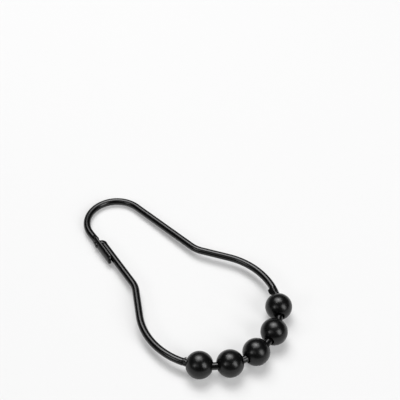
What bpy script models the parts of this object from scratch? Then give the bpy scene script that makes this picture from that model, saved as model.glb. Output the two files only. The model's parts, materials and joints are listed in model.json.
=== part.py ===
"""Roller-ball shower curtain hook, lying as it comes to rest on a flat surface.

One spring wire is bent into a pear-shaped ring. Five drilled balls are threaded on its wide
bow, where they roll along the curtain rod, and the curtain hangs in its narrow loop. One end
of the wire is pressed flat into a gutter with an eye in it. The other end runs along that
gutter, and its tip is bent outwards and snaps into the eye.

The ring is drawn in its own plane, in millimetres. U runs along its axis from the narrow loop
to the balls, V runs across it towards the leg without the clasp, and W is square to the plane.
An empty then tips that plane until the ring lies on Z = 0.
"""

import math
from collections import namedtuple

import bmesh
import bpy

MM = 0.001
QUARTER = math.pi / 2

# The wire and the outline of its centreline
WIRE_DIAMETER = 2.2
LOOP_RADIUS = 9.2
BOW_RADIUS = 20.75
CENTRE_DISTANCE = 45.4
LEG_SPREAD = math.radians(6.1)
SHOULDER_SPREAD = math.radians(31.7)
NECK_RADIUS = 8.4

# The clasp. Places along the leg are counted from the foot of the loop's centre.
LATCH_SPREAD = math.radians(8.45)
CLASP_PLAY = 0.25
PRESS_START = 3.1
PRESS_LENGTH = 0.7
FLARE_LENGTH = 1.5
FLARE_WIDTH = 2.5
GUTTER_LENGTH = 10.7
GUTTER_WIDTH = 3.6
GUTTER_THICKNESS = 1.05
GUTTER_DISH = 0.75
GUTTER_CORNER = 1.45
EYE_SETBACK = 2.5
EYE_PLAY = 0.25
TIP_BEND_RADIUS = 1.45
TIP_CORNER = 0.45
TIP_DIAMETER = 1.8
TIP_PROUD = 0.25
TIP_DOME = 0.4

# The pinched stops, first the one beyond the last ball and then the one beyond the first ball:
# how far each begins beyond the ball's mouth, and its length along the bow. The taper is the
# share of its thickness that a stop has lost at its inner edge.
STOP_GAPS = (1.0, 0.4)
STOP_LENGTHS = (2.9, 0.7)
STOP_WIDTH = 3.0
STOP_INWARD = 0.4
STOP_THICKNESS = 2.0
STOP_TAPER = 0.8

# The balls, and how far each one has rolled from its even place in the row
BALL_DIAMETER = 8.0
BALL_PITCH = 8.98
BALL_DRIFT = (0.25, 0.1, -0.2, 0.0, 0.55)
BORE_PLAY = 0.6
MOUTH_DIAMETER = 3.1
MOUTH_DEPTH = 0.15
MOUTH_LIP = 0.12

# Facets
SECTION_POINTS = 20
ARC_STEP = math.radians(6.0)
BEND_STEP = math.radians(15.0)
RUN_STEP = 4.0
BALL_FACETS_ROUND = 32
BALL_FACETS_ALONG = 14
SHARP_EDGE = math.radians(40.0)

# Worked out from the sizes above
WIRE_RADIUS = WIRE_DIAMETER / 2
BALL_RADIUS = BALL_DIAMETER / 2
TIP_RADIUS = TIP_DIAMETER / 2
EYE_RADIUS = TIP_RADIUS + EYE_PLAY
BORE_RADIUS = WIRE_RADIUS + BORE_PLAY / 2
MOUTH_RADIUS = MOUTH_DIAMETER / 2
HALF_BORE = math.sqrt(BALL_RADIUS ** 2 - MOUTH_RADIUS ** 2)
HALF_ROW = (len(BALL_DRIFT) - 1) / 2 * BALL_PITCH
LOOP_CENTRE = LOOP_RADIUS
BOW_CENTRE = LOOP_CENTRE + CENTRE_DISTANCE
LATCH_OFFSET = LOOP_RADIUS - GUTTER_THICKNESS - CLASP_PLAY
GUTTER_OFFSET = LATCH_OFFSET + WIRE_RADIUS + CLASP_PLAY + GUTTER_THICKNESS / 2
GUTTER_END = PRESS_START + GUTTER_LENGTH
EYE_PLACE = PRESS_START + EYE_SETBACK

# A place on the centreline, with the direction of travel
Station = namedtuple("Station", "u v heading")

# Half sizes in the ring's plane and across it, corner power (1 is an ellipse), dish, how far
# the section's middle lies outside the centreline, and its taper towards the ring's inside
Section = namedtuple("Section", "half_in half_across power dish shift taper")

ROUND = Section(WIRE_RADIUS, WIRE_RADIUS, 1.0, 0.0, 0.0, 0.0)
FLARED = Section(WIRE_RADIUS, FLARE_WIDTH / 2, 1.0, 0.0, 0.0, 0.0)
PINCHED = Section(STOP_WIDTH / 2, STOP_THICKNESS / 2, 1.0, 0.0, -STOP_INWARD, STOP_TAPER)
GUTTER = Section(GUTTER_THICKNESS / 2, GUTTER_WIDTH / 2, 0.55, GUTTER_DISH, 0.0, 0.0)
TIP = Section(TIP_RADIUS, TIP_RADIUS, 1.0, 0.0, 0.0, 0.0)

# Places along a stop, the press and the flare, as shares of their lengths, with how far the
# section has changed there, and places along the gutter and turns round its corners
STOP_SHAPE = ((0.0, 0.0), (0.125, 0.5), (0.275, 1.0), (0.725, 1.0), (0.875, 0.5), (1.0, 0.0))
PRESS_SHAPE = ((0.0, 0.0), (0.35, 0.3), (0.75, 0.85), (1.0, 1.0))
FLARE_SHAPE = (0.5, 1.0)
GUTTER_SHAPE = (0.7, 0.4, 0.15)
CORNER_TURNS = tuple(math.radians(a) for a in (8, 25, 45, 65, 90))
DOME_TURNS = tuple(math.radians(a) for a in (0, 30, 60, 80))

# Rings beside the eye, in eye radii, and half the eye's square of faces, in facets
EYE_RINGS = (1.35, 0.7, 0.0, -0.7, -1.35)
EYE_FACETS = 2


def blend(first, second, share):
    """Mixes two stations or two sections, value by value."""
    return type(first)(*(a + (b - a) * share for a, b in zip(first, second)))


def on_leg(spread, offset, along, side):
    """A station on a line that leans away from the axis by spread and passes the loop's centre
    at offset. side is 1 on the free leg, and -1 on the clasp's leg, where travel is backwards."""
    u = LOOP_CENTRE + along * math.cos(spread) - offset * math.sin(spread)
    v = along * math.sin(spread) + offset * math.cos(spread)
    return Station(u, side * v, spread if side > 0 else math.pi - spread)


def on_gutter(along):
    """A station on the middle line of the gutter, which lies along the clasp's leg."""
    return on_leg(LATCH_SPREAD, GUTTER_OFFSET, along, -1)


def on_bow(angle):
    """A station on the bow at a polar angle about its centre. Travel is clockwise there."""
    return Station(BOW_CENTRE + BOW_RADIUS * math.cos(angle), BOW_RADIUS * math.sin(angle),
                   angle - QUARTER)


def run(start, end):
    """Stations along a straight run, without its start."""
    count = max(1, math.ceil(math.hypot(end.u - start.u, end.v - start.v) / RUN_STEP))
    stations = [blend(start, end, i / count) for i in range(1, count + 1)]
    return [station._replace(heading=end.heading) for station in stations]


def arc(centre, radius, first, last, step=ARC_STEP):
    """Stations round an arc between two polar angles, both ends included."""
    count = max(1, math.ceil(abs(last - first) / step))
    turn = math.copysign(QUARTER, last - first)
    angles = [first + (last - first) * i / count for i in range(count + 1)]
    return [Station(centre[0] + radius * math.cos(a), centre[1] + radius * math.sin(a), a + turn)
            for a in angles]


def bow(first, last):
    """Stations round the bow between two polar angles, both ends included."""
    return arc((BOW_CENTRE, 0.0), BOW_RADIUS, first, last)


def neck_centre(spread, offset):
    """Centre of the fillet between a leg and its shoulder, where V is positive. It lies one
    fillet radius outside the leg's line and outside the shoulder's, which is tangent to the bow."""
    leg = offset + NECK_RADIUS - LOOP_CENTRE * math.sin(spread)
    shoulder = BOW_RADIUS + NECK_RADIUS - BOW_CENTRE * math.sin(SHOULDER_SPREAD)
    turn = math.sin(SHOULDER_SPREAD - spread)
    return ((leg * math.cos(SHOULDER_SPREAD) - shoulder * math.cos(spread)) / turn,
            (leg * math.sin(SHOULDER_SPREAD) - shoulder * math.sin(spread)) / turn)


def stop_ends(side):
    """Polar angles of a stop's end by the balls and of its other end. side is 1 beyond the last
    ball, where angles are positive, and -1 beyond the first."""
    drift = BALL_DRIFT[-1] if side > 0 else -BALL_DRIFT[0]
    gap, length = (values[0 if side > 0 else 1] for values in (STOP_GAPS, STOP_LENGTHS))
    near = HALF_ROW + drift + HALF_BORE + gap
    return side * near / BOW_RADIUS, side * (near + length) / BOW_RADIUS


def stop_rings(first, last):
    """The wire pinched flat and back again, between two polar angles of the bow."""
    return [(on_bow(first + (last - first) * along), blend(ROUND, PINCHED, share))
            for along, share in STOP_SHAPE]


def gutter_rings():
    """The pressed end, from its rounded end to the far side of the eye."""
    corner = [(GUTTER_END - GUTTER_CORNER * (1 - math.cos(turn)),
               GUTTER.half_across - GUTTER_CORNER * (1 - math.sin(turn))) for turn in CORNER_TURNS]
    rings = [(on_gutter(along), GUTTER._replace(half_across=half)) for along, half in corner]
    eye = [EYE_PLACE + place * EYE_RADIUS for place in EYE_RINGS]
    plain = [eye[0] + (corner[-1][0] - eye[0]) * share for share in GUTTER_SHAPE]
    return rings + [(on_gutter(along), GUTTER) for along in plain + eye]


def press_rings():
    """The step where the gutter becomes full wire, and the wire's flare behind it."""
    flat = on_gutter(PRESS_START + PRESS_LENGTH)
    full = on_leg(LEG_SPREAD, LOOP_RADIUS, PRESS_START, -1)
    rings = [(blend(flat, full, move), blend(GUTTER, FLARED, change)) for move, change in PRESS_SHAPE]
    behind = [(on_leg(LEG_SPREAD, LOOP_RADIUS, PRESS_START - FLARE_LENGTH * share, -1),
               blend(FLARED, ROUND, share)) for share in FLARE_SHAPE]
    return rings + behind


def tip_rings(start):
    """The outward bend at the end of the clasp's leg, and the tip that stands in the eye. The
    bend is pressed tight, so metal fills out its corner, and the tip is drawn down after it."""
    outward = start.heading + QUARTER
    centre = (start.u + TIP_BEND_RADIUS * math.cos(outward), start.v + TIP_BEND_RADIUS * math.sin(outward))
    bend = arc(centre, TIP_BEND_RADIUS, outward - math.pi, outward - QUARTER, BEND_STEP)[1:]
    rings = []
    for i, station in enumerate(bend):
        share = (i + 1) / len(bend)
        section = blend(ROUND, TIP, share)
        fill = TIP_CORNER * math.sin(math.pi * share) / 2
        rings.append((station, section._replace(half_in=section.half_in + fill, shift=-fill)))
    end = bend[-1]
    reach = WIRE_RADIUS + CLASP_PLAY + GUTTER_THICKNESS + TIP_PROUD - TIP_BEND_RADIUS
    for turn in DOME_TURNS:
        along = reach - TIP_DOME * (1 - math.sin(turn))
        place = Station(end.u + along * math.cos(end.heading), end.v + along * math.sin(end.heading),
                        end.heading)
        radius = TIP_RADIUS * math.cos(turn)
        rings.append((place, TIP._replace(half_in=radius, half_across=radius)))
    return rings


def wire_rings():
    """Every section of the wire in order, from the gutter's end to the bent tip."""
    rings = gutter_rings() + press_rings()
    loop = arc((LOOP_CENTRE, 0.0), LOOP_RADIUS, 3 * QUARTER - LEG_SPREAD, QUARTER + LEG_SPREAD)
    path = run(rings[-1][0], loop[0]) + loop[1:]

    # The free leg, its neck and its shoulder, up to the stop beyond the last ball
    last_near, last_far = stop_ends(1)
    bend = arc(neck_centre(LEG_SPREAD, LOOP_RADIUS), NECK_RADIUS,
               LEG_SPREAD - QUARTER, SHOULDER_SPREAD - QUARTER)
    inlet = bow(QUARTER + SHOULDER_SPREAD, last_far)
    path += run(loop[-1], bend[0]) + bend[1:] + run(bend[-1], inlet[0]) + inlet[1:-1]
    rings += [(station, ROUND) for station in path] + stop_rings(last_far, last_near)

    # The row of balls sits between the stops
    first_near, first_far = stop_ends(-1)
    row = bow(last_near, first_near)[1:-1]
    rings += [(station, ROUND) for station in row] + stop_rings(first_near, first_far)

    # The clasp's shoulder, neck and leg, then the bent tip
    outlet = bow(first_far, -QUARTER - SHOULDER_SPREAD)
    centre = neck_centre(LATCH_SPREAD, LATCH_OFFSET)
    bend = arc((centre[0], -centre[1]), NECK_RADIUS, QUARTER - SHOULDER_SPREAD, QUARTER - LATCH_SPREAD)
    leg_end = on_leg(LATCH_SPREAD, LATCH_OFFSET, EYE_PLACE + TIP_BEND_RADIUS, -1)
    path = outlet[1:] + run(outlet[-1], bend[0]) + bend[1:] + run(bend[-1], leg_end)
    return rings + [(station, ROUND) for station in path] + tip_rings(leg_end)


def place(station, outward, across):
    """A point off the centreline, in metres."""
    return (MM * (station.u - outward * math.sin(station.heading)),
            MM * (station.v + outward * math.cos(station.heading)),
            MM * across)


def section_point(station, section, angle):
    """A point of one section. The dish bends the section's middle away from the ring's inside,
    and the taper thins the section towards that inside."""
    across = section.half_across * math.copysign(abs(math.cos(angle)) ** section.power, math.cos(angle))
    outward = section.half_in * math.copysign(abs(math.sin(angle)) ** section.power, math.sin(angle))
    dished = outward - section.dish * (across / GUTTER.half_across) ** 2
    kept = 1 - section.taper * max(0.0, -math.sin(angle))
    return place(station, dished + section.shift, across * kept)


def gutter_face_point(along, across, face):
    """A point of the gutter's outer face (face is 1) or of its inner face (face is -1)."""
    share = abs(across / GUTTER.half_across) ** (2 / GUTTER.power)
    outward = face * GUTTER.half_in * (1 - share) ** (GUTTER.power / 2)
    dished = outward - GUTTER.dish * (across / GUTTER.half_across) ** 2
    return place(on_gutter(along), dished, across)


def eye_rim(first_ring):
    """The corners round the eye on both faces: their vertex numbers and their new places."""
    outer, inner, moved = [], [], {}
    corners = 8 * EYE_FACETS
    for i in range(corners):
        turn = 2 * math.pi * i / corners
        reach = EYE_FACETS * math.sqrt(2)
        step_along = round(max(-EYE_FACETS, min(EYE_FACETS, reach * math.cos(turn))))
        step_round = round(max(-EYE_FACETS, min(EYE_FACETS, reach * math.sin(turn))))
        row = (first_ring + EYE_FACETS - step_along) * SECTION_POINTS
        outer.append(row + SECTION_POINTS // 4 + step_round)
        inner.append(row + 3 * SECTION_POINTS // 4 - step_round)
        along = EYE_PLACE + EYE_RADIUS * math.cos(turn)
        across = EYE_RADIUS * math.sin(turn)
        moved[outer[-1]] = gutter_face_point(along, -across, 1)
        moved[inner[-1]] = gutter_face_point(along, -across, -1)
    return outer, inner, moved


def in_eye(ring, point, first_ring):
    """Whether a face of the wire's grid is one that the eye takes out."""
    if not first_ring <= ring < first_ring + 2 * EYE_FACETS:
        return False
    middle = SECTION_POINTS // 4 if point < SECTION_POINTS // 2 else 3 * SECTION_POINTS // 4
    return middle - EYE_FACETS <= point < middle + EYE_FACETS


def finish_mesh(name, points, faces, material):
    """A closed mesh with its faces pointing out, smooth between its sharp edges."""
    mesh = bpy.data.meshes.new(name)
    mesh.from_pydata(points, [], faces)
    shape = bmesh.new()
    shape.from_mesh(mesh)
    bmesh.ops.delete(shape, geom=[v for v in shape.verts if not v.link_faces], context="VERTS")
    bmesh.ops.recalc_face_normals(shape, faces=shape.faces)
    shape.to_mesh(mesh)
    shape.free()
    mesh.shade_smooth()
    mesh.set_sharp_from_angle(angle=SHARP_EDGE)
    mesh.materials.append(material)
    return mesh


def wire_mesh(rings, material):
    """The wire as one skin over all its sections, closed at both ends, with the eye let in."""
    turns = [2 * math.pi * k / SECTION_POINTS for k in range(SECTION_POINTS)]
    points = [section_point(station, section, turn) for station, section in rings for turn in turns]
    first_ring = len(gutter_rings()) - len(EYE_RINGS)
    outer, inner, moved = eye_rim(first_ring)
    for number, point in moved.items():
        points[number] = point

    faces = []
    for ring in range(len(rings) - 1):
        for k in range(SECTION_POINTS):
            if in_eye(ring, k, first_ring):
                continue
            here = ring * SECTION_POINTS
            after = (k + 1) % SECTION_POINTS
            faces.append((here + k, here + after, here + SECTION_POINTS + after, here + SECTION_POINTS + k))
    for i in range(len(outer)):
        after = (i + 1) % len(outer)
        faces.append((outer[i], outer[after], inner[after], inner[i]))
    last = (len(rings) - 1) * SECTION_POINTS
    faces.append(tuple(range(SECTION_POINTS)))
    faces.append(tuple(range(last, last + SECTION_POINTS)))
    return finish_mesh("hook_wire", points, faces, material)


def ball_profile():
    """The closed outline that is turned about the bore's axis, as distance along it and radius:
    the bore, a countersunk mouth with a broken edge, the sphere, and the other mouth."""
    mouth_angle = math.asin(MOUTH_RADIUS / BALL_RADIUS)
    mouth = BALL_RADIUS * math.cos(mouth_angle)
    slope = math.atan2(MOUTH_DEPTH, MOUTH_RADIUS - BORE_RADIUS)
    lip_angle = mouth_angle + MOUTH_LIP / BALL_RADIUS
    half = [(mouth - MOUTH_DEPTH, BORE_RADIUS),
            (mouth - MOUTH_LIP * math.sin(slope), MOUTH_RADIUS - MOUTH_LIP * math.cos(slope))]
    count = BALL_FACETS_ALONG
    angles = [lip_angle + (math.pi - 2 * lip_angle) * i / count for i in range(count + 1)]
    sphere = [(BALL_RADIUS * math.cos(a), BALL_RADIUS * math.sin(a)) for a in angles]
    return half + sphere + [(-along, radius) for along, radius in reversed(half)]


def ball_mesh(material):
    """A drilled ball: its profile turned about the bore's axis, which is the mesh's X axis."""
    profile = ball_profile()
    count = len(profile)
    points = []
    for i in range(BALL_FACETS_ROUND):
        turn = 2 * math.pi * i / BALL_FACETS_ROUND
        points += [(MM * along, MM * radius * math.cos(turn), MM * radius * math.sin(turn))
                   for along, radius in profile]
    faces = []
    for i in range(BALL_FACETS_ROUND):
        here = i * count
        there = (i + 1) % BALL_FACETS_ROUND * count
        for k in range(count):
            after = (k + 1) % count
            faces.append((here + k, here + after, there + after, there + k))
    return finish_mesh("roller_ball", points, faces, material)


def ball_stations():
    """Where each ball's centre lies. The wire bows through a straight bore, so the ball sits in
    from the bow's centreline by half of that bow's height inside the bore."""
    inset = (BOW_RADIUS - math.sqrt(BOW_RADIUS ** 2 - HALF_BORE ** 2)) / 2
    stations = []
    for i, drift in enumerate(BALL_DRIFT):
        angle = ((i - (len(BALL_DRIFT) - 1) / 2) * BALL_PITCH + drift) / BOW_RADIUS
        on_wire = on_bow(angle)
        stations.append(on_wire._replace(u=on_wire.u - inset * math.cos(angle),
                                         v=on_wire.v - inset * math.sin(angle)))
    return stations


def rest_tilt(rings, support):
    """How far the ring's plane leans when it lies free. The balls at the ends of the row carry
    the bow, and the section that comes down first carries the narrow end."""
    return min(math.asin((BALL_RADIUS - section.half_across) / (support - station.u))
               for station, section in rings if station.u < BOW_CENTRE)


def black_metal(name, colour, roughness, coat):
    """A Principled material for black-finished steel."""
    material = bpy.data.materials.new(name)
    material.use_nodes = True
    shader = material.node_tree.nodes["Principled BSDF"]
    shader.inputs["Base Color"].default_value = (*colour, 1.0)
    shader.inputs["Metallic"].default_value = 0.35
    shader.inputs["Roughness"].default_value = roughness
    shader.inputs["Coat Weight"].default_value = coat
    shader.inputs["Coat Roughness"].default_value = roughness / 2
    return material


def add_piece(name, mesh, parent, station):
    """One named piece, placed in the ring's plane."""
    piece = bpy.data.objects.new(name, mesh)
    bpy.context.collection.objects.link(piece)
    piece.parent = parent
    piece.location = (MM * station.u, MM * station.v, 0.0)
    piece.rotation_euler = (0.0, 0.0, station.heading)
    return piece


def build():
    for old in list(bpy.data.objects):
        bpy.data.objects.remove(old)

    rings = wire_rings()
    balls = ball_stations()
    support = min(balls[0].u, balls[-1].u)
    tilt = rest_tilt(rings, support)
    far_end = max(ball.u for ball in balls) * math.cos(tilt) + BALL_RADIUS
    near_end = -WIRE_RADIUS * math.cos(tilt)

    plane = bpy.data.objects.new("ring_plane", None)
    bpy.context.collection.objects.link(plane)
    plane.rotation_euler = (0.0, -tilt, 0.0)
    plane.location = (-MM * (far_end + near_end) / 2, 0.0, MM * (BALL_RADIUS - support * math.sin(tilt)))

    wire_black = black_metal("wire_black", (0.020, 0.020, 0.021), 0.34, 0.3)
    ball_black = black_metal("ball_black", (0.012, 0.012, 0.013), 0.16, 0.8)
    add_piece("hook_wire", wire_mesh(rings, wire_black), plane, Station(0.0, 0.0, 0.0))
    ball = ball_mesh(ball_black)
    for i, station in enumerate(balls):
        add_piece("roller_ball_%d" % (i + 1), ball, plane, station)


build()
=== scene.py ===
"""Looks of the roller-ball shower curtain hook.

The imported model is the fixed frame. Its joints give the balls' centres and axes, and so the
ring's plane and the place of its bow. The bent wire and the five drilled balls are made here as
fine surfaces in those places, with their black finishes. The hook lies on a plain pale floor
under soft boxes of light.

The ring is drawn in its own plane. U runs along its axis from the narrow loop to the balls, V
runs across it towards the leg without the clasp, and W is square to the plane.
"""

import json
import math
import bmesh
import bpy
import numpy as np
from bpy.props import FloatProperty, FloatVectorProperty, IntProperty, PointerProperty
from mathutils import Matrix, Vector


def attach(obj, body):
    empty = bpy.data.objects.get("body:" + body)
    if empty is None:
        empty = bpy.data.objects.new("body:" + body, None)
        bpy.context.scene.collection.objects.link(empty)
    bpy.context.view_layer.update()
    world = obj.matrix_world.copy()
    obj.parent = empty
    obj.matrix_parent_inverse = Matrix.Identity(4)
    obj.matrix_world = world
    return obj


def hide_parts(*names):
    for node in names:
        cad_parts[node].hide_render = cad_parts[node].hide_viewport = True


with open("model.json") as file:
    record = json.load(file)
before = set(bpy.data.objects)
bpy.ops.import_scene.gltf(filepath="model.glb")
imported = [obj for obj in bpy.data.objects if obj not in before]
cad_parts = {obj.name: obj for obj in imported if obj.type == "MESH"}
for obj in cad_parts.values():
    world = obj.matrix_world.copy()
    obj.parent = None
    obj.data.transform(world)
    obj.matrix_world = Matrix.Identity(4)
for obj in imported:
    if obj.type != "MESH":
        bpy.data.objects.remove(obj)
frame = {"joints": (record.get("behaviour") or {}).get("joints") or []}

bl_info = {
    "name": "Roller-ball curtain hook",
    "version": (1, 0, 0),
    "blender": (4, 5, 0),
    "location": "View3D > Sidebar > Curtain Hook",
    "description": "Makes a wire curtain hook with rolling balls, and the stage that it lies on",
    "category": "Add Mesh",
}

MM = 0.001
QUARTER = math.pi / 2
WIRE_PIECE = "bent_wire"
BALL_PIECE = "drilled_ball_%d"

# What one row of the wire's surface holds: its place and heading in the ring's plane, and the
# shape of the section there. Taper is how much thinner the section is at its inner edge, and
# even is 1 where the points are spaced evenly round the section.
ROW_VALUES = ("u", "v", "heading", "half_in", "half_across", "power", "dish", "shift", "taper",
              "even")
SHAPE_VALUES = np.array([name not in ("u", "v", "heading") for name in ROW_VALUES])

# The corner power of the gutter's section, and the share of a stop's length that falls away at
# either end
GUTTER_POWER = 0.55
STOP_FALL = 0.26

# The longest steps along the wire and round the tip's bend, the largest turn from row to row,
# and the points round the wire and along the fine outline that spaces them
RUN_STEP = 0.25 * MM
TIP_STEP = 0.1 * MM
BEND_STEP = math.radians(2.5)
SECTION_POINTS = 56
OUTLINE_POINTS = 20001

# Rows round the gutter's corners and over its edges, between corners and eye, along the step and
# the flare, and along the tip's shank and dome, with the turn at which the dome's last row lies
CORNER_ROWS = 28
EDGE_ROWS = 7
PLAIN_ROWS = 30
STEP_ROWS = 25
FLARE_ROWS = 9
SHANK_ROWS = 6
DOME_ROWS = 14
DOME_TURN = math.radians(86.0)

# The block of the wire's grid that gives way to the eye: half its rows and half its columns, half
# its length, and the rings from its border to the eye's rounded edge
EYE_BLOCK = 10
EYE_BLOCK_REACH = 1.52 * MM
EYE_RINGS = 6

# Points round the lip of a ball's mouth, and the most of the bevel beside it that a lip takes
LIP_POINTS = 7
LIP_LIMIT = 0.4

# The angle from which an edge between two faces is drawn sharp
SHARP_EDGE = math.radians(50.0)

# Where most of a noise's values lie, the sheen of the black finishes and of the floor, and the
# real depths of the bumps: drawn lines and grain on the wire, ripple and grain on the balls
NOISE_LOW = 0.3
NOISE_HIGH = 0.7
BLACK_SHEEN = 0.33
FLOOR_SHEEN = 0.1
DRAWN_DEPTH = 0.0012 * MM
WIRE_GRAIN_DEPTH = 0.0008 * MM
RIPPLE_DEPTH = 0.006 * MM
BALL_GRAIN_DEPTH = 0.0004 * MM
WHITE = (1.0, 1.0, 1.0, 1.0)

# Each soft box: its name, its azimuth and elevation in degrees, its distance, width and height
# in metres, and the setting that holds its radiance
SOFT_BOXES = (
    ("overhead_box", 243.0, 69.0, 1.05, 0.84, 0.66, "overhead_light"),
    ("key_box", 241.0, 65.0, 1.00, 0.26, 0.20, "key_light"),
    ("back_box", 254.0, 48.0, 0.95, 0.44, 0.22, "back_light"),
    ("right_box", 102.0, 41.0, 0.90, 0.42, 0.44, "right_light"),
    ("low_box", 103.0, 22.0, 0.90, 0.26, 0.22, "low_light"),
    ("left_box", 357.0, 34.0, 0.90, 0.24, 0.22, "left_light"),
    ("fill_box", 14.0, 47.0, 0.90, 0.50, 0.26, "fill_light"),
)


def length(name, description, millimetres):
    """A size that a user would change, in metres, with its default given in millimetres."""
    return FloatProperty(name=name, description=description, default=millimetres * MM,
                         min=0.0, precision=5, subtype="DISTANCE", unit="LENGTH")


def angle(name, description, degrees):
    """An angle that a user would change, with its default given in degrees."""
    return FloatProperty(name=name, description=description, default=math.radians(degrees),
                         subtype="ANGLE", unit="ROTATION")


def share(name, description, default):
    """A plain number from 0 to 1."""
    return FloatProperty(name=name, description=description, default=default, min=0.0, max=1.0,
                         subtype="FACTOR")


def radiance(name, description, default):
    """A light's strength."""
    return FloatProperty(name=name, description=description, default=default, min=0.0)


def paint(name, description, default):
    """A colour that a user would change."""
    return FloatVectorProperty(name=name, description=description, default=default, size=3,
                               min=0.0, max=1.0, subtype="COLOR")


class RingSettings(bpy.types.PropertyGroup):
    """The wire and the outline of its centreline."""
    wire_diameter: length("Wire", "Diameter of the round wire", 2.2)
    loop_radius: length("Loop radius", "Radius of the narrow loop for the curtain", 9.2)
    bow_radius: length("Bow radius", "Radius of the wide bow for the rod", 20.75)
    centre_distance: length("Centres", "From the loop's centre to the bow's centre", 45.4)
    neck_radius: length("Neck radius", "Radius of the bend between a leg and its shoulder", 8.4)
    leg_spread: angle("Leg", "How far the free leg leans away from the ring's axis", 6.1)
    shoulder_spread: angle("Shoulder", "How far the shoulders lean away from the axis", 31.7)
    last_gap: length("Last gap", "From the last ball's mouth to the stop beyond it", 1.0)
    last_length: length("Last stop", "Length of the stop beyond the last ball", 2.9)
    first_gap: length("First gap", "From the first ball's mouth to the stop beyond it", 0.4)
    first_length: length("First stop", "Length of the stop beyond the first ball", 0.7)
    stop_width: length("Stop width", "Width of a pinched stop in the ring's plane", 3.0)
    stop_inward: length("Stop inward", "How far a stop's middle lies inside the wire's", 0.4)
    stop_thickness: length("Stop thickness", "Thickness of a pinched stop's back", 2.0)
    stop_taper: share("Stop taper", "How much thinner a stop is at its inner edge", 0.8)
    colour: paint("Finish", "Colour of the wire's satin black finish", (0.0020, 0.0020, 0.0021))
    roughness: share("Roughness", "Roughness of the wire's finish", 0.20)


class ClaspSettings(bpy.types.PropertyGroup):
    """The pressed gutter, its eye, and the bent tip that snaps into the eye."""
    latch_spread: angle("Latch", "How far the clasp's leg leans away from the axis", 8.45)
    play: length("Play", "Gap between the leg and the gutter that it lies in", 0.25)
    press_start: length("Press start", "Where the press begins, from the loop's centre", 3.1)
    press_length: length("Press step", "Length of the step down to the gutter", 0.7)
    flare_length: length("Flare length", "Length of the flare behind the step", 1.5)
    flare_width: length("Flare width", "Width of the wire beside the step", 2.5)
    gutter_length: length("Gutter length", "Length of the pressed gutter with its step", 10.7)
    gutter_width: length("Gutter width", "Width of the pressed gutter", 3.6)
    gutter_thickness: length("Gutter wall", "Thickness of the pressed gutter", 1.05)
    gutter_dish: length("Gutter dish", "How far the gutter's edges are turned up", 0.75)
    gutter_corner: length("Gutter corner", "Corner radius at the gutter's end", 1.45)
    edge_radius: length("Edge", "Rounding of the pressed and pierced edges", 0.16)
    eye_setback: length("Eye", "From the press's start to the eye's centre", 2.5)
    eye_play: length("Eye play", "Gap between the tip and the eye, all round", 0.25)
    tip_bend: length("Tip bend", "Radius of the tip's bend", 1.45)
    tip_corner: length("Tip corner", "How far metal fills out the tip's bend", 0.45)
    tip_diameter: length("Tip diameter", "Diameter of the bent tip", 1.8)
    tip_proud: length("Tip proud", "How far the tip stands out of the eye", 0.25)
    tip_dome: length("Tip dome", "Height of the tip's rounded end", 0.4)


class BallSettings(bpy.types.PropertyGroup):
    """The drilled balls that roll along the rod."""
    diameter: length("Ball", "Diameter of a ball", 8.0)
    bore_play: length("Bore play", "How much wider the bore is than the wire", 0.6)
    mouth_diameter: length("Mouth", "Diameter of the countersunk mouths", 3.1)
    mouth_depth: length("Mouth depth", "Depth of the countersunk mouths", 0.15)
    mouth_lip: length("Lip", "Rounding at the edge of a mouth", 0.12)
    colour: paint("Finish", "Colour of the balls' gloss black finish", (0.0015, 0.0015, 0.0016))
    roughness: share("Roughness", "Roughness of the balls' finish", 0.27)
    facets: IntProperty(name="Facets", description="Facets round a ball", default=96, min=24)


class StageSettings(bpy.types.PropertyGroup):
    """The floor, the soft boxes of light and the camera."""
    floor_colour: paint("Floor", "Colour of the pale floor", (0.50, 0.50, 0.50))
    # The floor's glow is painted light that the floor gives of itself, to make the shadows cast on
    # it paler
    painted_floor_glow: radiance("Glow", "Light that the floor itself gives, as lit from below", 0.26)
    floor_size: length("Floor size", "Length of the square floor's side", 4000.0)
    room_light: radiance("Room", "Strength of the even light all round", 0.04)
    overhead_light: radiance("Overhead", "Radiance of the broad box overhead", 5.7)
    key_light: radiance("Key", "Radiance of the small key box within it", 9.9)
    back_light: radiance("Back", "Radiance of the long box behind the hook", 3.9)
    right_light: radiance("Right", "Radiance of the tall box at the right", 5.6)
    low_light: radiance("Low right", "Radiance of the low box at the right", 4.6)
    left_light: radiance("Left", "Radiance of the small box at the left", 5.6)
    fill_light: radiance("Fill", "Radiance of the wide box above the one at the left", 1.0)
    camera_lens: FloatProperty(name="Lens", description="Focal length in millimetres",
                               default=89.15, min=10.0)
    camera_distance: length("Distance", "From the camera to the point that it looks at", 327.07)
    camera_azimuth: angle("Azimuth", "Where the camera stands, 0 looking along +Y", 46.90)
    camera_elevation: angle("Elevation", "How far the camera looks down", 47.27)
    camera_roll: angle("Roll", "How far the camera is turned about its line of sight", 3.27)
    camera_aim: FloatVectorProperty(name="Aim", description="The point that the camera looks at",
                                    default=(-21.44 * MM, 28.35 * MM, 0.0), size=3,
                                    precision=5, subtype="XYZ", unit="LENGTH")


# The ring's plane and outline

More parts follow.
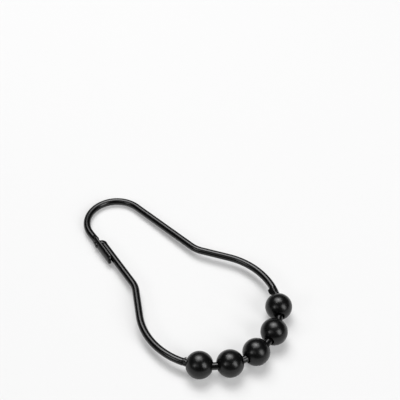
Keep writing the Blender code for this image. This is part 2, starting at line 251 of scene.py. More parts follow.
def ring_space(ring, balls):
    """The ring's origin and its U, V and W directions in the world, as arrays.

    The balls' axes lie in the ring's plane, so W is square to the first and the last of them.
    Each ball's centre lies on a circle about the bow's centre, whose radius is the bow's less
    half the height by which the wire bows inside the bore, so a step of that radius along the
    ball's own inward direction leads to the bow's centre. The mean of the five is used."""
    centres = np.array([joint["pos_m"] for joint in frame["joints"]])
    axes = np.array([joint["axis"] for joint in frame["joints"]])
    across = np.cross(axes[-1], axes[0])
    across *= math.copysign(1.0, across[2]) / np.linalg.norm(across)
    inset = (ring.bow_radius - math.sqrt(ring.bow_radius ** 2 - half_bore(balls) ** 2)) / 2
    inward = np.cross(axes, across)
    bow_centre = (centres + inward * (ring.bow_radius - inset)).mean(axis=0)
    along = np.cross((0.0, 1.0, 0.0), across)
    sideways = np.cross(across, along)
    origin = bow_centre - along * (ring.loop_radius + ring.centre_distance)
    return origin, np.array((along, sideways, across))


def half_bore(balls):
    """From a ball's centre to the plane of its mouth."""
    return math.sqrt(balls.diameter ** 2 - balls.mouth_diameter ** 2) / 2


def stop_ends(ring, balls):
    """For either stop, the distances along the bow from the ring's axis at which it begins by
    the balls and ends, signed like V. The end balls' own places come from their axes."""
    across = ring_space(ring, balls)[1][2]
    found = []
    for joint, side, gap, extent in ((frame["joints"][-1], 1, ring.last_gap, ring.last_length),
                                     (frame["joints"][0], -1, ring.first_gap, ring.first_length)):
        outward = -np.cross(joint["axis"], across)
        place = ring.bow_radius * abs(math.asin(outward[1])) + half_bore(balls) + gap
        found.append((side * place, side * (place + extent)))
    return found


def to_world(space, points):
    """World points from points given as U, V and W."""
    origin, directions = space
    return origin + points @ directions


def on_leg(ring, spread, offset, along, side):
    """A station (U, V, heading) on a line that leans away from the axis by spread and passes
    the loop's centre at offset. side is 1 on the free leg and -1 on the clasp's leg."""
    u = ring.loop_radius + along * math.cos(spread) - offset * math.sin(spread)
    v = along * math.sin(spread) + offset * math.cos(spread)
    return np.array((u, side * v, spread if side > 0 else math.pi - spread))


def latch_offset(ring, clasp):
    """How far the clasp leg's line passes from the loop's centre."""
    return ring.loop_radius - clasp.gutter_thickness - clasp.play


def on_gutter(ring, clasp, along):
    """A station on the middle line of the gutter."""
    offset = (latch_offset(ring, clasp) + ring.wire_diameter / 2 + clasp.play
              + clasp.gutter_thickness / 2)
    return on_leg(ring, clasp.latch_spread, offset, along, -1)


def neck_centre(ring, spread, offset):
    """Centre of the fillet between a leg and its shoulder, where V is positive: one fillet
    radius outside the leg's line and outside the shoulder's, which is tangent to the bow."""
    leg = offset + ring.neck_radius - ring.loop_radius * math.sin(spread)
    bow_centre = ring.loop_radius + ring.centre_distance
    shoulder = ring.bow_radius + ring.neck_radius - bow_centre * math.sin(ring.shoulder_spread)
    turn = math.sin(ring.shoulder_spread - spread)
    return np.array((leg * math.cos(ring.shoulder_spread) - shoulder * math.cos(spread),
                     leg * math.sin(ring.shoulder_spread) - shoulder * math.sin(spread))) / turn


def walk(start, stretches, step):
    """Stations along stretches of steady curvature, each given as its length and its turn.

    A point that lies s along a stretch is start + s sinc(k s / 2) in the direction of the
    start's heading + k s / 2, where k is turn over length. This is exact for arcs and for
    straight runs, where k is 0. Each stretch leaves out its own start."""
    found = []
    for extent, turn in stretches:
        count = max(2, math.ceil(extent / step), math.ceil(abs(turn) / BEND_STEP))
        s = extent * np.arange(1, count + 1) / count
        half = turn * s / extent / 2
        chord = s * np.sinc(half / math.pi)
        found.append(np.stack((start[0] + chord * np.cos(start[2] + half),
                               start[1] + chord * np.sin(start[2] + half),
                               start[2] + 2 * half), axis=1))
        start = found[-1][-1]
    return np.concatenate(found)


def smooth(value):
    """An S-curve from 0 to 1: 3 x squared less 2 x cubed, held outside that range."""
    x = np.clip(value, 0.0, 1.0)
    return x * x * (3 - 2 * x)


def wire_rows(stations, ring, **changes):
    """Rows of the wire's surface: round wire at the given stations, but for what is changed."""
    radius = ring.wire_diameter / 2
    values = {"u": stations[:, 0], "v": stations[:, 1], "heading": stations[:, 2],
              "half_in": radius, "half_across": radius, "power": 1.0, "dish": 0.0, "shift": 0.0,
              "taper": 0.0, "even": 0.0}
    values.update(changes)
    return np.stack([np.broadcast_to(values[name], len(stations)) for name in ROW_VALUES], axis=1)


def gutter_section(clasp):
    """The gutter's section: half sizes, corner power and dish."""
    return {"half_in": clasp.gutter_thickness / 2, "half_across": clasp.gutter_width / 2,
            "power": GUTTER_POWER, "dish": clasp.gutter_dish, "even": 1.0}


def on_gutter_line(ring, clasp, along):
    """Stations on the gutter's middle line, one for each place along it."""
    line = on_gutter(ring, clasp, 0.0)
    return np.stack((line[0] - along * math.cos(line[2]), line[1] - along * math.sin(line[2]),
                     np.full_like(along, line[2])), axis=-1)


def gutter_rows(ring, clasp):
    """The pressed end, from its rounded end to the step.

    In plan the end's corners are quarter circles, so with t from 0 to 90 degrees a row lies at
    the end less c (1 - cos t) and is half the width less c (1 - sin t) wide. Within one edge
    radius e of the end the section also draws in all round by e (1 - sin a), for a row that
    lies e (1 - cos a) from the end. Places that differ by less than a micrometre become one
    row. The number of the eye block's first row is also given."""
    end = clasp.press_start + clasp.gutter_length
    eye = clasp.press_start + clasp.eye_setback
    turns = np.linspace(0.0, QUARTER, CORNER_ROWS)
    corner = end - clasp.gutter_corner * (1 - np.cos(turns))
    edge = end - clasp.edge_radius * (1 - np.cos(np.linspace(0.0, QUARTER, EDGE_ROWS)))
    block = eye + EYE_BLOCK_REACH * np.linspace(1.0, -1.0, 2 * EYE_BLOCK + 1)
    plain = np.linspace(corner.min(), block[0], PLAIN_ROWS)[1:-1]
    flat = clasp.press_start + clasp.press_length
    rest = np.linspace(block[-1], flat, max(2, math.ceil((block[-1] - flat) / RUN_STEP)))[1:]
    along = np.unique(np.round(np.concatenate((corner, edge, block, plain, rest)), 6))[::-1]

    corner_half = clasp.gutter_width / 2 - clasp.gutter_corner * (1 - np.sin(turns))
    half = np.interp(-along, -corner, corner_half)
    near_end = np.clip((end - along) / clasp.edge_radius, 0.0, 1.0)
    drawn = clasp.edge_radius * (1 - np.sqrt(1 - (1 - near_end) ** 2))
    section = gutter_section(clasp)
    section["half_in"] = section["half_in"] - drawn
    section["half_across"] = half - drawn
    first = int(np.argmin(abs(along - block[0])))
    return wire_rows(on_gutter_line(ring, clasp, along), ring, **section), first


def press_rows(ring, clasp):
    """The step where the gutter becomes full wire, and the wire's flare behind it. A share that
    runs from 0 to 1 moves each value of the row from the gutter's to the wire's."""
    flat = on_gutter(ring, clasp, clasp.press_start + clasp.press_length)
    full = on_leg(ring, ring.leg_spread, ring.loop_radius, clasp.press_start, -1)
    flared = {"half_across": clasp.flare_width / 2}
    before = wire_rows(flat[None], ring, **gutter_section(clasp))
    after = wire_rows(full[None], ring, **flared)
    move = np.linspace(0.0, 1.0, STEP_ROWS)[1:, None]
    step = before + (after - before) * np.where(SHAPE_VALUES, smooth(move), move)

    back = np.linspace(0.0, clasp.flare_length, FLARE_ROWS)[1:]
    stations = full + back[:, None] * (math.cos(full[2]), math.sin(full[2]), 0.0)
    narrowing = smooth(back / clasp.flare_length)
    half = flared["half_across"] + (ring.wire_diameter / 2 - flared["half_across"]) * narrowing
    return np.concatenate((step, wire_rows(stations, ring, half_across=half)))


def ring_stretches(ring, clasp):
    """The stretches of the centreline from the wire's flare to the tip's bend, as length and
    turn: the loop, the free leg, its neck and shoulder, the bow, and the same back to the
    clasp. Straight runs join the points where the arcs begin and end."""
    def bend_ends(spread, offset, side):
        """Where a neck's arc begins and ends: its radius from its centre, square to the leg and
        square to the shoulder."""
        centre = neck_centre(ring, spread, offset) * (1, side)
        turns = np.array((spread, ring.shoulder_spread))
        spokes = np.array((np.sin(turns), -side * np.cos(turns)))
        ends = centre[:, None] + ring.neck_radius * spokes
        return ends[:, 0], ends[:, 1]

    def apart(first, second):
        """The distance between two places in the ring's plane."""
        return float(np.hypot(*(np.asarray(first)[:2] - np.asarray(second)[:2])))

    bow_centre = ring.loop_radius + ring.centre_distance
    polar = QUARTER + ring.shoulder_spread
    bow_end = np.array((bow_centre + ring.bow_radius * math.cos(polar),
                        ring.bow_radius * math.sin(polar)))
    free_near, free_far = bend_ends(ring.leg_spread, ring.loop_radius, 1)
    latch_near, latch_far = bend_ends(clasp.latch_spread, latch_offset(ring, clasp), -1)
    free_foot = on_leg(ring, ring.leg_spread, ring.loop_radius, 0.0, 1)
    free_neck = ring.shoulder_spread - ring.leg_spread
    latch_neck = ring.shoulder_spread - clasp.latch_spread
    loop_turn = math.pi - 2 * ring.leg_spread
    return [
        (clasp.press_start - clasp.flare_length, 0.0),
        (ring.loop_radius * loop_turn, -loop_turn),
        (apart(free_foot, free_near), 0.0),
        (ring.neck_radius * free_neck, free_neck),
        (apart(free_far, bow_end), 0.0),
        (ring.bow_radius * 2 * polar, -2 * polar),
        (apart(bow_end * (1, -1), latch_far), 0.0),
        (ring.neck_radius * latch_neck, latch_neck),
        (apart(latch_near, latch_end(ring, clasp)), 0.0),
    ]


def latch_end(ring, clasp):
    """The station where the clasp's leg ends and its tip begins to bend outwards."""
    along = clasp.press_start + clasp.eye_setback + clasp.tip_bend
    return on_leg(ring, clasp.latch_spread, latch_offset(ring, clasp), along, -1)


def stop_share(ring, balls, stations):
    """How far each station is pinched: 1 on a stop's flat, 0 away from the stops. The flat
    falls away at either end over about a quarter of the stop's length, as an S-curve."""
    bow_centre = ring.loop_radius + ring.centre_distance
    along = ring.bow_radius * np.arctan2(stations[:, 1], stations[:, 0] - bow_centre)
    total = np.zeros(len(stations))
    for near, far in stop_ends(ring, balls):
        place = (along - near) / (far - near)
        total += smooth(np.minimum(place, 1 - place) / STOP_FALL)
    return total


def body_rows(start, ring, clasp, balls):
    """Round wire from the flare to the tip's bend, with the two pinched stops on the bow."""
    stations = walk(start, ring_stretches(ring, clasp), RUN_STEP)
    pinch = stop_share(ring, balls, stations)
    radius = ring.wire_diameter / 2
    return wire_rows(stations, ring,
                     half_in=radius + (ring.stop_width / 2 - radius) * pinch,
                     half_across=radius + (ring.stop_thickness / 2 - radius) * pinch,
                     shift=-ring.stop_inward * pinch, taper=ring.stop_taper * pinch)


def tip_rows(start, ring, clasp):
    """The outward bend and the tip that stands in the eye. Metal fills out the bend's corner by
    a half sine. The end is a dome: with t from 0 to 90 degrees a row lies the dome's height
    times (1 - sin t) short of the end, and its radius is the tip's times cos t."""
    bend = walk(start, [(clasp.tip_bend * QUARTER, QUARTER)], TIP_STEP)
    along = (bend[:, 2] - start[2]) / QUARTER
    radius = ring.wire_diameter / 2 + (clasp.tip_diameter - ring.wire_diameter) / 2 * along
    fill = clasp.tip_corner * np.sin(math.pi * along) / 2
    rows = [wire_rows(bend, ring, half_in=radius + fill, half_across=radius, shift=-fill)]

    reach = (ring.wire_diameter / 2 + clasp.play + clasp.gutter_thickness + clasp.tip_proud
             - clasp.tip_bend)
    turns = np.linspace(0.0, DOME_TURN, DOME_ROWS)
    shank = np.linspace(0.0, reach - clasp.tip_dome, SHANK_ROWS)[1:-1]
    places = np.concatenate((shank, reach - clasp.tip_dome * (1 - np.sin(turns))))
    half = clasp.tip_diameter / 2 * np.concatenate((np.ones_like(shank), np.cos(turns)))
    end = bend[-1]
    stations = end + places[:, None] * (math.cos(end[2]), math.sin(end[2]), 0.0)
    rows.append(wire_rows(stations, ring, half_in=half, half_across=half))
    return np.concatenate(rows)


# Surfaces

def even_turns(clasp):
    """The turns that space the points evenly round the gutter's section, from the length of a
    fine outline of it."""
    fine = np.linspace(0.0, 2 * math.pi, OUTLINE_POINTS)
    section = gutter_section(clasp)
    outline = np.stack((section["half_across"] * powered(np.cos(fine), section["power"]),
                        section["half_in"] * powered(np.sin(fine), section["power"])))
    run = np.concatenate(((0.0,), np.cumsum(np.hypot(*np.diff(outline, axis=1)))))
    return np.interp(run[-1] * np.arange(SECTION_POINTS) / SECTION_POINTS, run, fine)


def powered(value, power):
    """A value's size raised to a power, with the value's sign kept."""
    return np.sign(value) * np.abs(value) ** power


def section_grid(rows, clasp):
    """Across and outward of each point of the wire's grid, one line for each row.

    The section is a superellipse: across is its half size times the powered cosine of the turn,
    and outward is its half size times the powered sine. The dish takes away the square of
    across over the gutter's half width, and the shift moves the whole section. The taper thins
    the inner half, by its own size times the sine's."""
    value = {name: rows[:, i:i + 1] for i, name in enumerate(ROW_VALUES)}
    plain = 2 * math.pi * np.arange(SECTION_POINTS) / SECTION_POINTS
    turns = plain + (even_turns(clasp) - plain) * value["even"]
    across = value["half_across"] * powered(np.cos(turns), value["power"])
    outward = value["half_in"] * powered(np.sin(turns), value["power"])
    outward = outward - value["dish"] * (across / (clasp.gutter_width / 2)) ** 2 + value["shift"]
    return across * (1 - value["taper"] * np.maximum(0.0, -np.sin(turns))), outward


def off_path(stations, across, outward):
    """U, V and W of points that lie across and outward of their stations."""
    heading = stations[..., 2]
    return np.stack((stations[..., 0] - outward * np.sin(heading),
                     stations[..., 1] + outward * np.cos(heading), across), axis=-1)


def eye_grid(clasp, along, across):
    """The rings of points that close the wire's grid round the eye, on both faces and through
    the wall, as along, across and outward. along and across give the block's border.

    A border point's turn about the eye is that of its spoke. On a face the rings run along
    the spokes from the border to a circle one edge radius outside the eye. There a quarter
    circle of that edge radius turns them into the wall, and the other face is the same in
    reverse. On either face outward follows the gutter's own section."""
    eye = clasp.press_start + clasp.eye_setback
    turns = np.arctan2(across, along - eye)
    radius = clasp.tip_diameter / 2 + clasp.eye_play
    rim = radius + clasp.edge_radius
    shares = np.linspace(0.0, 1.0, EYE_RINGS)[1:, None]
    face_along = along + (eye + rim * np.cos(turns) - along) * shares
    face_across = across + (rim * np.sin(turns) - across) * shares
    bends = np.linspace(0.0, QUARTER, EDGE_ROWS)[1:, None]
    lip = radius + clasp.edge_radius * (1 - np.sin(bends))
    half_along = np.concatenate((face_along, eye + lip * np.cos(turns)))
    half_across = np.concatenate((face_across, lip * np.sin(turns)))
    sink = np.concatenate((np.zeros((len(shares), 1)), clasp.edge_radius * (1 - np.cos(bends))))

    section = gutter_section(clasp)
    power = section["power"]
    wide = np.abs(half_across / section["half_across"])
    rise = section["half_in"] * (1 - wide ** (2 / power)) ** (power / 2) - sink
    dished = section["dish"] * wide ** 2
    outer = np.stack((half_along, half_across, rise - dished))
    inner = np.stack((half_along, half_across, -rise - dished))[:, ::-1]
    return np.concatenate((outer, inner), axis=1)


def strip_faces(numbers, closed_along=False):
    """Quads between neighbouring lines of a grid of vertex numbers. Each line closes on itself,
    and with closed_along the last line also meets the first."""
    following = np.roll(numbers, -1, axis=0) if closed_along else numbers[1:]
    these = numbers if closed_along else numbers[:-1]
    quads = (these, np.roll(these, -1, axis=1), np.roll(following, -1, axis=1), following)
    return np.stack(quads, axis=-1).reshape(-1, 4)


def fan_faces(ring_numbers, pole):
    """Triangles from a closed line of vertices to a pole."""
    following = np.roll(ring_numbers, -1)
    return np.stack((ring_numbers, following, np.full_like(ring_numbers, pole)), axis=1)


def outside_block(row_count, first):
    """Which quads of the wire's grid stay: all but the eye's block on either face. first is
    the block's first row."""
    row = np.repeat(np.arange(row_count - 1), SECTION_POINTS)
    column = np.tile(np.arange(SECTION_POINTS), row_count - 1)
    quarter = SECTION_POINTS // 4
    beside = np.minimum(abs(column + 0.5 - quarter), abs(column + 0.5 - 3 * quarter))
    return (row < first) | (row >= first + 2 * EYE_BLOCK) | (beside >= EYE_BLOCK)


def block_border(numbers, first):
    """The vertices all round the eye's block, on the outer face and on the inner one, from the
    grid of vertex numbers and the block's first row."""
    step = np.arange(8 * EYE_BLOCK) - EYE_BLOCK
    side = step // (2 * EYE_BLOCK) % 4
    part = step % (2 * EYE_BLOCK) - EYE_BLOCK
    edge = np.full_like(part, EYE_BLOCK)
    row = first + EYE_BLOCK + np.choose(side, (-edge, part, edge, -part))
    beside = np.choose(side, (part, edge, -part, -edge))
    quarter = SECTION_POINTS // 4
    return numbers[row, quarter - beside], numbers[row, 3 * quarter + beside]


def add_mesh(name, points, faces, attributes, material):
    """A finished piece at the origin, its faces pointing out and smooth but for sharp edges.
    Points that no face uses are left out."""
    mesh = bpy.data.meshes.new(name)
    mesh.from_pydata(points, [], faces)
    for label, kind, values in attributes:
        attribute = mesh.attributes.new(label, kind, "POINT")
        field = "vector" if kind == "FLOAT_VECTOR" else "value"
        attribute.data.foreach_set(field, np.ascontiguousarray(values, dtype=np.float32).ravel())
    shape = bmesh.new()
    shape.from_mesh(mesh)
    loose = [vertex for vertex in shape.verts if not vertex.link_faces]
    bmesh.ops.delete(shape, geom=loose, context="VERTS")
    bmesh.ops.recalc_face_normals(shape, faces=shape.faces)
    shape.to_mesh(mesh)
    shape.free()
    mesh.shade_smooth()
    mesh.set_sharp_from_angle(angle=SHARP_EDGE)
    mesh.materials.append(material)
    piece = bpy.data.objects.new(name, mesh)
    bpy.context.scene.collection.objects.link(piece)
    return piece


def wire_surface(ring, clasp, balls):
    """The wire's points in the ring's plane and its faces, and at each point its place along,
    across and outward, and how far it is pressed."""
    gutter, first = gutter_rows(ring, clasp)
    press = press_rows(ring, clasp)
    body = body_rows(press[-1, :3], ring, clasp, balls)
    tip = tip_rows(latch_end(ring, clasp), ring, clasp)
    rows = np.concatenate((gutter, press, body, tip))
    across, outward = section_grid(rows, clasp)
    points = off_path(rows[:, None, :3], across, outward)
    run = np.concatenate(((0.0,), np.cumsum(np.hypot(*np.diff(rows[:, :2], axis=0).T))))
    place = np.stack((np.broadcast_to(run[:, None], across.shape), across, outward), axis=-1)

    numbers = np.arange(points.shape[0] * SECTION_POINTS).reshape(points.shape[:2])
    outer, inner = block_border(numbers, first)
    border = place.reshape(-1, 3)[outer]
    begin = clasp.press_start + clasp.gutter_length
    eye_along, eye_across, eye_outward = eye_grid(clasp, begin - border[:, 0], border[:, 1])
    eye_points = off_path(on_gutter_line(ring, clasp, eye_along), eye_across, eye_outward)
    eye_place = np.stack((begin - eye_along, eye_across, eye_outward), axis=-1)
    lines = numbers.size + np.arange(eye_along.size).reshape(eye_along.shape)
    eye_lines = np.concatenate((outer[None], lines, inner[None]))
    quads = np.concatenate((strip_faces(numbers)[outside_block(len(rows), first)],
                            strip_faces(eye_lines)))

    poles = lines.max() + 1 + np.arange(2)
    pole_points = np.array([points[0].mean(axis=0), points[-1].mean(axis=0)])
    pole_place = np.array([place[0].mean(axis=0), place[-1].mean(axis=0)])
    triangles = np.concatenate((fan_faces(numbers[0], poles[0]), fan_faces(numbers[-1], poles[1])))
    row_pressed = np.maximum(rows[:, ROW_VALUES.index("even")],
                             rows[:, ROW_VALUES.index("taper")] / ring.stop_taper)
    pressed = np.concatenate((np.repeat(row_pressed, SECTION_POINTS), np.ones(eye_along.size),
                              (1.0, 0.0)))
    everything = np.concatenate((points.reshape(-1, 3), eye_points.reshape(-1, 3), pole_points))
    places = np.concatenate((place.reshape(-1, 3), eye_place.reshape(-1, 3), pole_place))
    return everything, [*quads.tolist(), *triangles.tolist()], places, pressed


def ball_profile(ring, balls):
    """A ball's closed outline as distance along its bore and radius: the bore, a countersunk
    mouth with a rounded edge, the sphere, and the other mouth in reverse. The mouth's two
    corners are curves. The sphere has two points along for every three facets round."""
    radius = balls.diameter / 2
    bore = (ring.wire_diameter + balls.bore_play) / 2
    rim = balls.mouth_diameter / 2
    mouth_turn = math.asin(rim / radius)
    mouth = radius * math.cos(mouth_turn)
    root = np.array((mouth - balls.mouth_depth, bore))
    edge = np.array((mouth, rim))
    bevel = np.linalg.norm(edge - root)
    slope = (edge - root) / bevel
    lip = min(balls.mouth_lip, LIP_LIMIT * bevel)
    lip_turn = mouth_turn + lip / radius
    after = radius * np.array((math.cos(lip_turn), math.sin(lip_turn)))
    t = np.linspace(0.0, 1.0, LIP_POINTS)[:, None]

    def corner(first, middle, last):
        """A curve that weighs three points by (1 - t) squared, 2 t (1 - t) and t squared."""
        return (1 - t) ** 2 * first + 2 * t * (1 - t) * middle + t * t * last

    turns = np.linspace(lip_turn, math.pi - lip_turn, balls.facets * 2 // 3)[1:-1]
    sphere = radius * np.stack((np.cos(turns), np.sin(turns)), axis=1)
    half = np.concatenate((((root[0] / 2, bore),),
                           corner(root - (lip, 0.0), root, root + slope * lip),
                           corner(edge - slope * lip, edge, after)))
    return np.concatenate((half, sphere, half[::-1] * (-1, 1)))


def ball_surface(profile, count, centre, axis, across):
    """The profile turned about the ball's axis: a point lies its distance along the axis, and
    its radius times the cosine and sine of the turn along the two directions square to it."""
    turns = 2 * math.pi * np.arange(count) / count
    inward = np.cross(axis, across)
    spoke = np.cos(turns)[:, None, None] * inward + np.sin(turns)[:, None, None] * across
    points = centre + profile[None, :, 0, None] * axis + profile[None, :, 1, None] * spoke
    numbers = np.arange(count * len(profile)).reshape(count, len(profile))
    return points.reshape(-1, 3), strip_faces(numbers, closed_along=True)


# Finishes

def new_material(name):
    """A material with an empty node tree but for its output and a Principled shader."""
    material = bpy.data.materials.new(name)
    material.use_nodes = True
    return material, material.node_tree, material.node_tree.nodes["Principled BSDF"]


def add_node(tree, kind, **values):
    """A node with its values. Keys that begin with a capital are inputs by name, with a bar for
    each blank, and the others are the node's own settings."""
    node = tree.nodes.new(kind)
    for key, value in values.items():
        if key[0].isupper():
            node.inputs[key.replace("_", " ")].default_value = value
        else:
            setattr(node, key, value)
    return node


def noise(tree, source, scale, detail, stretch=(1.0, 1.0, 1.0)):
    """Noise over a coordinate that is stretched first, as its output socket. The coordinate is
    in metres, so scale is about the number of specks in a metre."""
    mapping = add_node(tree, "ShaderNodeMapping", Scale=stretch)
    texture = add_node(tree, "ShaderNodeTexNoise", Scale=scale, Detail=detail)
    tree.links.new(source, mapping.inputs["Vector"])
    tree.links.new(mapping.outputs["Vector"], texture.inputs["Vector"])
    return texture.outputs["Fac"]


def noise_range(tree, source, low, high):
    """A noise's value carried over to a value from low to high."""
    node = add_node(tree, "ShaderNodeMapRange", From_Min=NOISE_LOW, From_Max=NOISE_HIGH,
                    To_Min=low, To_Max=high)
    tree.links.new(source, node.inputs["Value"])
    return node.outputs["Result"]


def tint(tree, source, dark, light):
    """A colour between two, by a noise's value."""
    node = tree.nodes.new("ShaderNodeValToRGB")
    ends = ((NOISE_LOW, dark), (NOISE_HIGH, light))
    for element, (position, colour) in zip(node.color_ramp.elements, ends):
        element.position = position
        element.color = (*colour, 1.0)
    tree.links.new(source, node.inputs["Fac"])
    return node.outputs["Color"]


def bump(tree, height, depth, before=None):
    """A bump of a real depth in metres, on top of the one before it."""
    node = add_node(tree, "ShaderNodeBump", Strength=1.0, Distance=depth)
    tree.links.new(height, node.inputs["Height"])
    if before is not None:
        tree.links.new(before, node.inputs["Normal"])
    return node.outputs["Normal"]


def scaled(colour, factor):
    """A colour made lighter or darker."""
    return tuple(value * factor for value in colour)


def wire_finish(ring):
    """Satin black over drawn wire: fine lines along the wire, a fine grain in the coating, and
    a slightly rougher surface where the wire is pressed."""
    material, tree, shader = new_material("satin_black")
    place = add_node(tree, "ShaderNodeAttribute", attribute_name="wire_place").outputs["Vector"]
    pressed = add_node(tree, "ShaderNodeAttribute", attribute_name="pressed").outputs["Fac"]
    drawn = noise(tree, place, scale=9000.0, detail=2.0, stretch=(0.02, 1.0, 1.0))
    grain = noise(tree, place, scale=14000.0, detail=3.0)
    cloud = noise(tree, place, scale=700.0, detail=3.0)

    tree.links.new(tint(tree, cloud, scaled(ring.colour, 0.8), scaled(ring.colour, 1.3)),
                   shader.inputs["Base Color"])
    plain = noise_range(tree, grain, ring.roughness - 0.04, ring.roughness + 0.05)
    rougher = add_node(tree, "ShaderNodeMapRange", To_Min=0.0, To_Max=0.04)
    tree.links.new(pressed, rougher.inputs["Value"])
    total = add_node(tree, "ShaderNodeMath", operation="ADD")
    tree.links.new(plain, total.inputs[0])
    tree.links.new(rougher.outputs["Result"], total.inputs[1])
    tree.links.new(total.outputs["Value"], shader.inputs["Roughness"])
    lines = bump(tree, drawn, DRAWN_DEPTH)
    tree.links.new(bump(tree, grain, WIRE_GRAIN_DEPTH, lines), shader.inputs["Normal"])
    shader.inputs["Specular IOR Level"].default_value = BLACK_SHEEN
    return material


def ball_finish(balls):
    """Gloss black over a tumbled steel ball: a faint ripple as paint leaves when it flows, and
    a very fine grain that softens the reflections."""
    material, tree, shader = new_material("gloss_black")
    place = add_node(tree, "ShaderNodeTexCoord").outputs["Object"]
    ripple = noise(tree, place, scale=900.0, detail=1.0)
    grain = noise(tree, place, scale=15000.0, detail=2.0)
    cloud = noise(tree, place, scale=350.0, detail=2.0)
    tree.links.new(tint(tree, cloud, scaled(balls.colour, 0.8), scaled(balls.colour, 1.25)),
                   shader.inputs["Base Color"])
    tree.links.new(noise_range(tree, cloud, balls.roughness - 0.02, balls.roughness + 0.03),
                   shader.inputs["Roughness"])
    waves = bump(tree, ripple, RIPPLE_DEPTH)
    tree.links.new(bump(tree, grain, BALL_GRAIN_DEPTH, waves), shader.inputs["Normal"])
    shader.inputs["Specular IOR Level"].default_value = BLACK_SHEEN
    return material


# Stage

def floor_finish(stage):
    """A matt pale sheet with hardly any sheen. It glows a little of itself: painted light that
    makes the shadows cast on it paler.
    """
    material, tree, shader = new_material("pale_floor")
    place = add_node(tree, "ShaderNodeTexCoord").outputs["Object"]
    cloud = noise(tree, place, scale=6.0, detail=2.0)
    tree.links.new(tint(tree, cloud, scaled(stage.floor_colour, 0.995), stage.floor_colour),
                   shader.inputs["Base Color"])
    shader.inputs["Roughness"].default_value = 0.9
    shader.inputs["Emission Color"].default_value = WHITE
    # Painted light: the floor's own glow makes the shadows cast on it paler
    shader.inputs["Emission Strength"].default_value = stage.painted_floor_glow
    shader.inputs["Specular IOR Level"].default_value = FLOOR_SHEEN
    return material


def soft_box(name, azimuth, elevation, distance, wide, high, strength):
    """A white rectangular light that faces the hook. Its power is its strength, a radiance,
    times pi times its area."""
    light = bpy.data.lights.new(name, "AREA")
    light.shape = "RECTANGLE"
    light.size = wide
    light.size_y = high
    light.energy = strength * math.pi * wide * high
    holder = bpy.data.objects.new(name, light)
    holder.matrix_world = standing_at(azimuth, elevation, distance, Vector((0.0, 0.0, 0.0)), 0.0)
    bpy.context.scene.collection.objects.link(holder)


def standing_at(azimuth, elevation, distance, aim, roll):
    """The place of something that looks at a point along its own -Z, with +Y upwards. It stands
    at -Y where its azimuth is 0, and further towards +X as that grows."""
    turn = Matrix.Rotation(azimuth, 4, "Z") @ Matrix.Rotation(QUARTER - elevation, 4, "X")
    away = Matrix.Translation((0.0, 0.0, distance))
    return Matrix.Translation(aim) @ turn @ away @ Matrix.Rotation(roll, 4, "Z")


# Operators

class CURTAINHOOK_OT_bend_wire(bpy.types.Operator):
    """Bends, presses and pierces the wire of the hook"""
    bl_idname = "curtain_hook.bend_wire"
    bl_label = "Bend wire"
    bl_options = {"REGISTER", "UNDO"}

    def execute(self, context):
        ring, clasp, balls = settings(context)
        points, faces, places, pressed = wire_surface(ring, clasp, balls)
        world = to_world(ring_space(ring, balls), points)
        attributes = (("wire_place", "FLOAT_VECTOR", places), ("pressed", "FLOAT", pressed))
        piece = add_mesh(WIRE_PIECE, world, faces, attributes, wire_finish(ring))
        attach(piece, "ring")
        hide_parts("hook_wire")
        return {"FINISHED"}


class CURTAINHOOK_OT_thread_balls(bpy.types.Operator):
    """Turns the drilled balls and threads them on the bow of the wire"""
    bl_idname = "curtain_hook.thread_balls"
    bl_label = "Thread balls"
    bl_options = {"REGISTER", "UNDO"}

    def execute(self, context):
        ring, _, balls = settings(context)
        finish = ball_finish(balls)
        profile = ball_profile(ring, balls)
        across = ring_space(ring, balls)[1][2]
        for i, joint in enumerate(frame["joints"], start=1):
            points, quads = ball_surface(profile, balls.facets, np.array(joint["pos_m"]),
                                         np.array(joint["axis"]), across)
            piece = add_mesh(BALL_PIECE % i, points, quads.tolist(), (), finish)
            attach(piece, joint["child"])
            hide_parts("roller_ball_%d" % i)
        return {"FINISHED"}


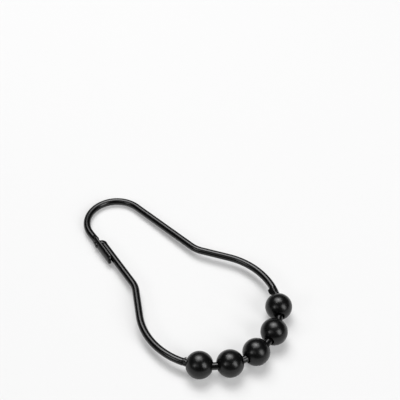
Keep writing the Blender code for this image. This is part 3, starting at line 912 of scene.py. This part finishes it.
class CURTAINHOOK_OT_set_stage(bpy.types.Operator):
    """Lays the pale floor, hangs the soft boxes and sets up the camera"""
    bl_idname = "curtain_hook.set_stage"
    bl_label = "Set stage"
    bl_options = {"REGISTER", "UNDO"}

    def execute(self, context):
        stage = context.scene.hook_stage
        scene = context.scene
        half = stage.floor_size / 2
        mesh = bpy.data.meshes.new("floor")
        outline = ((-half, -half, 0.0), (half, -half, 0.0), (half, half, 0.0), (-half, half, 0.0))
        mesh.from_pydata(outline, [], [(0, 1, 2, 3)])
        mesh.materials.append(floor_finish(stage))
        floor = bpy.data.objects.new("floor", mesh)
        scene.collection.objects.link(floor)

        for name, azimuth, elevation, distance, wide, high, strength in SOFT_BOXES:
            soft_box(name, math.radians(azimuth), math.radians(elevation), distance, wide, high,
                     getattr(stage, strength))

        world = bpy.data.worlds.new("room")
        world.use_nodes = True
        background = world.node_tree.nodes["Background"]
        background.inputs["Color"].default_value = WHITE
        background.inputs["Strength"].default_value = stage.room_light
        scene.world = world
        scene.view_settings.view_transform = "Standard"

        view = bpy.data.cameras.new("camera")
        view.lens = stage.camera_lens
        view.sensor_fit = "HORIZONTAL"
        view.sensor_width = 36.0
        view.clip_start = 0.01
        camera = bpy.data.objects.new("camera", view)
        camera.matrix_world = standing_at(stage.camera_azimuth, stage.camera_elevation,
                                          stage.camera_distance, Vector(stage.camera_aim),
                                          stage.camera_roll)
        scene.collection.objects.link(camera)
        scene.camera = camera
        return {"FINISHED"}


class CURTAINHOOK_PT_sidebar(bpy.types.Panel):
    """Lists the hook's pieces and their sizes"""
    bl_label = "Curtain Hook"
    bl_idname = "CURTAINHOOK_PT_sidebar"
    bl_space_type = "VIEW_3D"
    bl_region_type = "UI"
    bl_category = "Curtain Hook"

    def draw(self, context):
        for operator, groups in PANEL_ROWS:
            box = self.layout.box()
            box.operator(operator)
            for group in groups:
                values = getattr(context.scene, group)
                for name in values.__annotations__:
                    box.prop(values, name)


PANEL_ROWS = (("curtain_hook.bend_wire", ("hook_ring", "hook_clasp")),
              ("curtain_hook.thread_balls", ("hook_balls",)),
              ("curtain_hook.set_stage", ("hook_stage",)))
SETTINGS = {"hook_ring": RingSettings, "hook_clasp": ClaspSettings, "hook_balls": BallSettings,
            "hook_stage": StageSettings}
CLASSES = (*SETTINGS.values(), CURTAINHOOK_OT_bend_wire, CURTAINHOOK_OT_thread_balls,
           CURTAINHOOK_OT_set_stage, CURTAINHOOK_PT_sidebar)


def settings(context):
    """The sizes and colours of the ring, the clasp and the balls."""
    scene = context.scene
    return scene.hook_ring, scene.hook_clasp, scene.hook_balls


def register():
    """Registers the classes and gives the scene its groups of settings."""
    for group in CLASSES:
        bpy.utils.register_class(group)
    for name, group in SETTINGS.items():
        setattr(bpy.types.Scene, name, PointerProperty(type=group))


def unregister():
    """Takes back what register did."""
    for name in SETTINGS:
        delattr(bpy.types.Scene, name)
    for group in reversed(CLASSES):
        bpy.utils.unregister_class(group)


def main():
    """Makes the pieces and the stage."""
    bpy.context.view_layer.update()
    for old in [o for o in bpy.data.objects if o.type in ("CAMERA", "LIGHT")]:
        bpy.data.objects.remove(old)
    register()
    bpy.ops.curtain_hook.bend_wire()
    bpy.ops.curtain_hook.thread_balls()
    bpy.ops.curtain_hook.set_stage()


if __name__ == "__main__":
    main()
